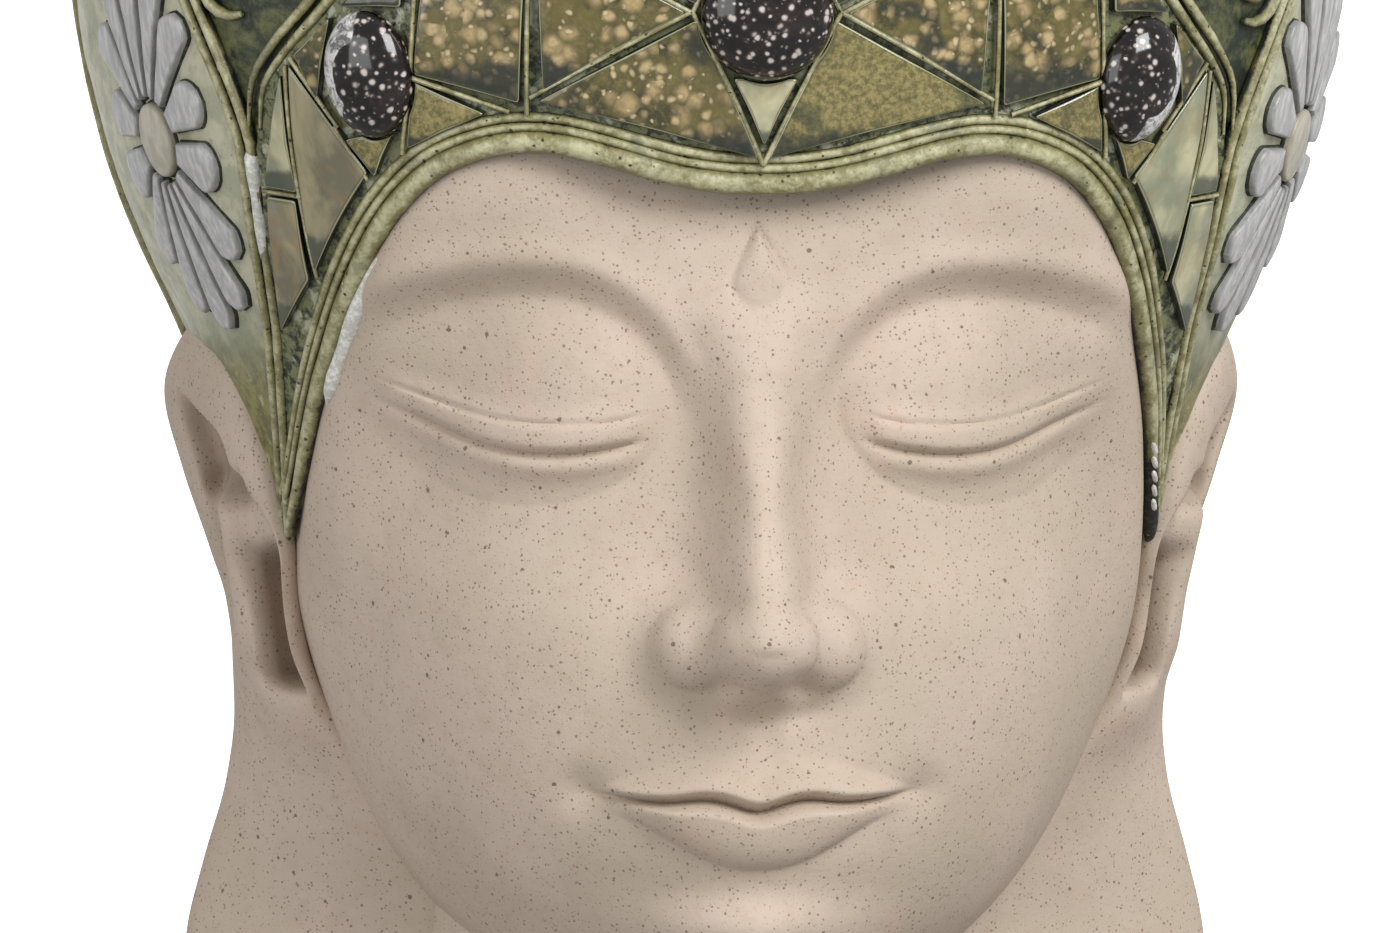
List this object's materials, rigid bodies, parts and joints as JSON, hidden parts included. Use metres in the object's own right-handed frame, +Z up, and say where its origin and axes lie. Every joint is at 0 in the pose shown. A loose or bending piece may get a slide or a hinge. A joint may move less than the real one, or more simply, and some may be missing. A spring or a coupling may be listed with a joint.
{
  "type": "buddha bust figurine",
  "caption": "Cast bust of a crowned Buddha with closed eyes, long ear lobes and a tall tiered crown set with glass nuggets, glass mosaic and petal flowers; stands on the flat cut of its neck.",
  "frame": {"origin": "centre of the flat underside of the neck", "axes": "+Z up to the tip of the crown, the face looks to -Y, +X is to the right of someone who looks at the face"},
  "size_m": [0.1957, 0.1888, 0.346],
  "materials": {
    "casting": "matt beige coat with fine dark specks",
    "crown_paint": "antique olive and gold paint with dark recesses, satin",
    "olive_glass": "opaque mottled olive glass, glossy",
    "pearl_glass": "opaque pale pearly glass, glossy",
    "black_glass": "opaque black glass nugget with white bubbles, very glossy",
    "petal": "silver grey mosaic petal, satin",
    "flower_centre": "cream mosaic oval, satin"
  },
  "bodies": {
    "root": {"bust": "casting", "gem_centre": "black_glass", "gem_left": "black_glass", "gem_right": "black_glass", "tile_keystone_low": "olive_glass", "tile_keystone_high": "olive_glass", "tile_fan_low_left": "olive_glass", "tile_fan_high_left": "olive_glass", "tile_fan_side_left": "olive_glass", "tile_panel_left": "olive_glass", "tile_corner_low_left": "olive_glass", "tile_chip_left": "olive_glass", "tile_corner_high_left": "olive_glass", "tile_corner_side_left": "olive_glass", "tile_pearl_left": "pearl_glass", "tile_narrow_left": "pearl_glass", "tile_long_left": "pearl_glass", "tile_peak_left": "olive_glass", "tile_fan_low_right": "olive_glass", "tile_fan_high_right": "olive_glass", "tile_fan_side_right": "olive_glass", "tile_panel_right": "olive_glass", "tile_corner_low_right": "olive_glass", "tile_chip_right": "olive_glass", "tile_corner_high_right": "olive_glass", "tile_corner_side_right": "olive_glass", "tile_pearl_right": "pearl_glass", "tile_narrow_right": "pearl_glass", "tile_long_right": "pearl_glass", "tile_peak_right": "olive_glass", "flower_centre_left": "flower_centre", "petal_left_01": "petal", "petal_left_02": "petal", "petal_left_03": "petal", "petal_left_04": "petal", "petal_left_05": "petal", "petal_left_06": "petal", "petal_left_07": "petal", "petal_left_08": "petal", "petal_left_09": "petal", "petal_left_10": "petal", "petal_left_11": "petal", "petal_left_12": "petal", "petal_left_13": "petal", "petal_left_14": "petal", "flower_centre_right": "flower_centre", "petal_right_01": "petal", "petal_right_02": "petal", "petal_right_03": "petal", "petal_right_04": "petal", "petal_right_05": "petal", "petal_right_06": "petal", "petal_right_07": "petal", "petal_right_08": "petal", "petal_right_09": "petal", "petal_right_10": "petal", "petal_right_11": "petal", "petal_right_12": "petal", "petal_right_13": "petal", "petal_right_14": "petal"}
  },
  "joints": []
}
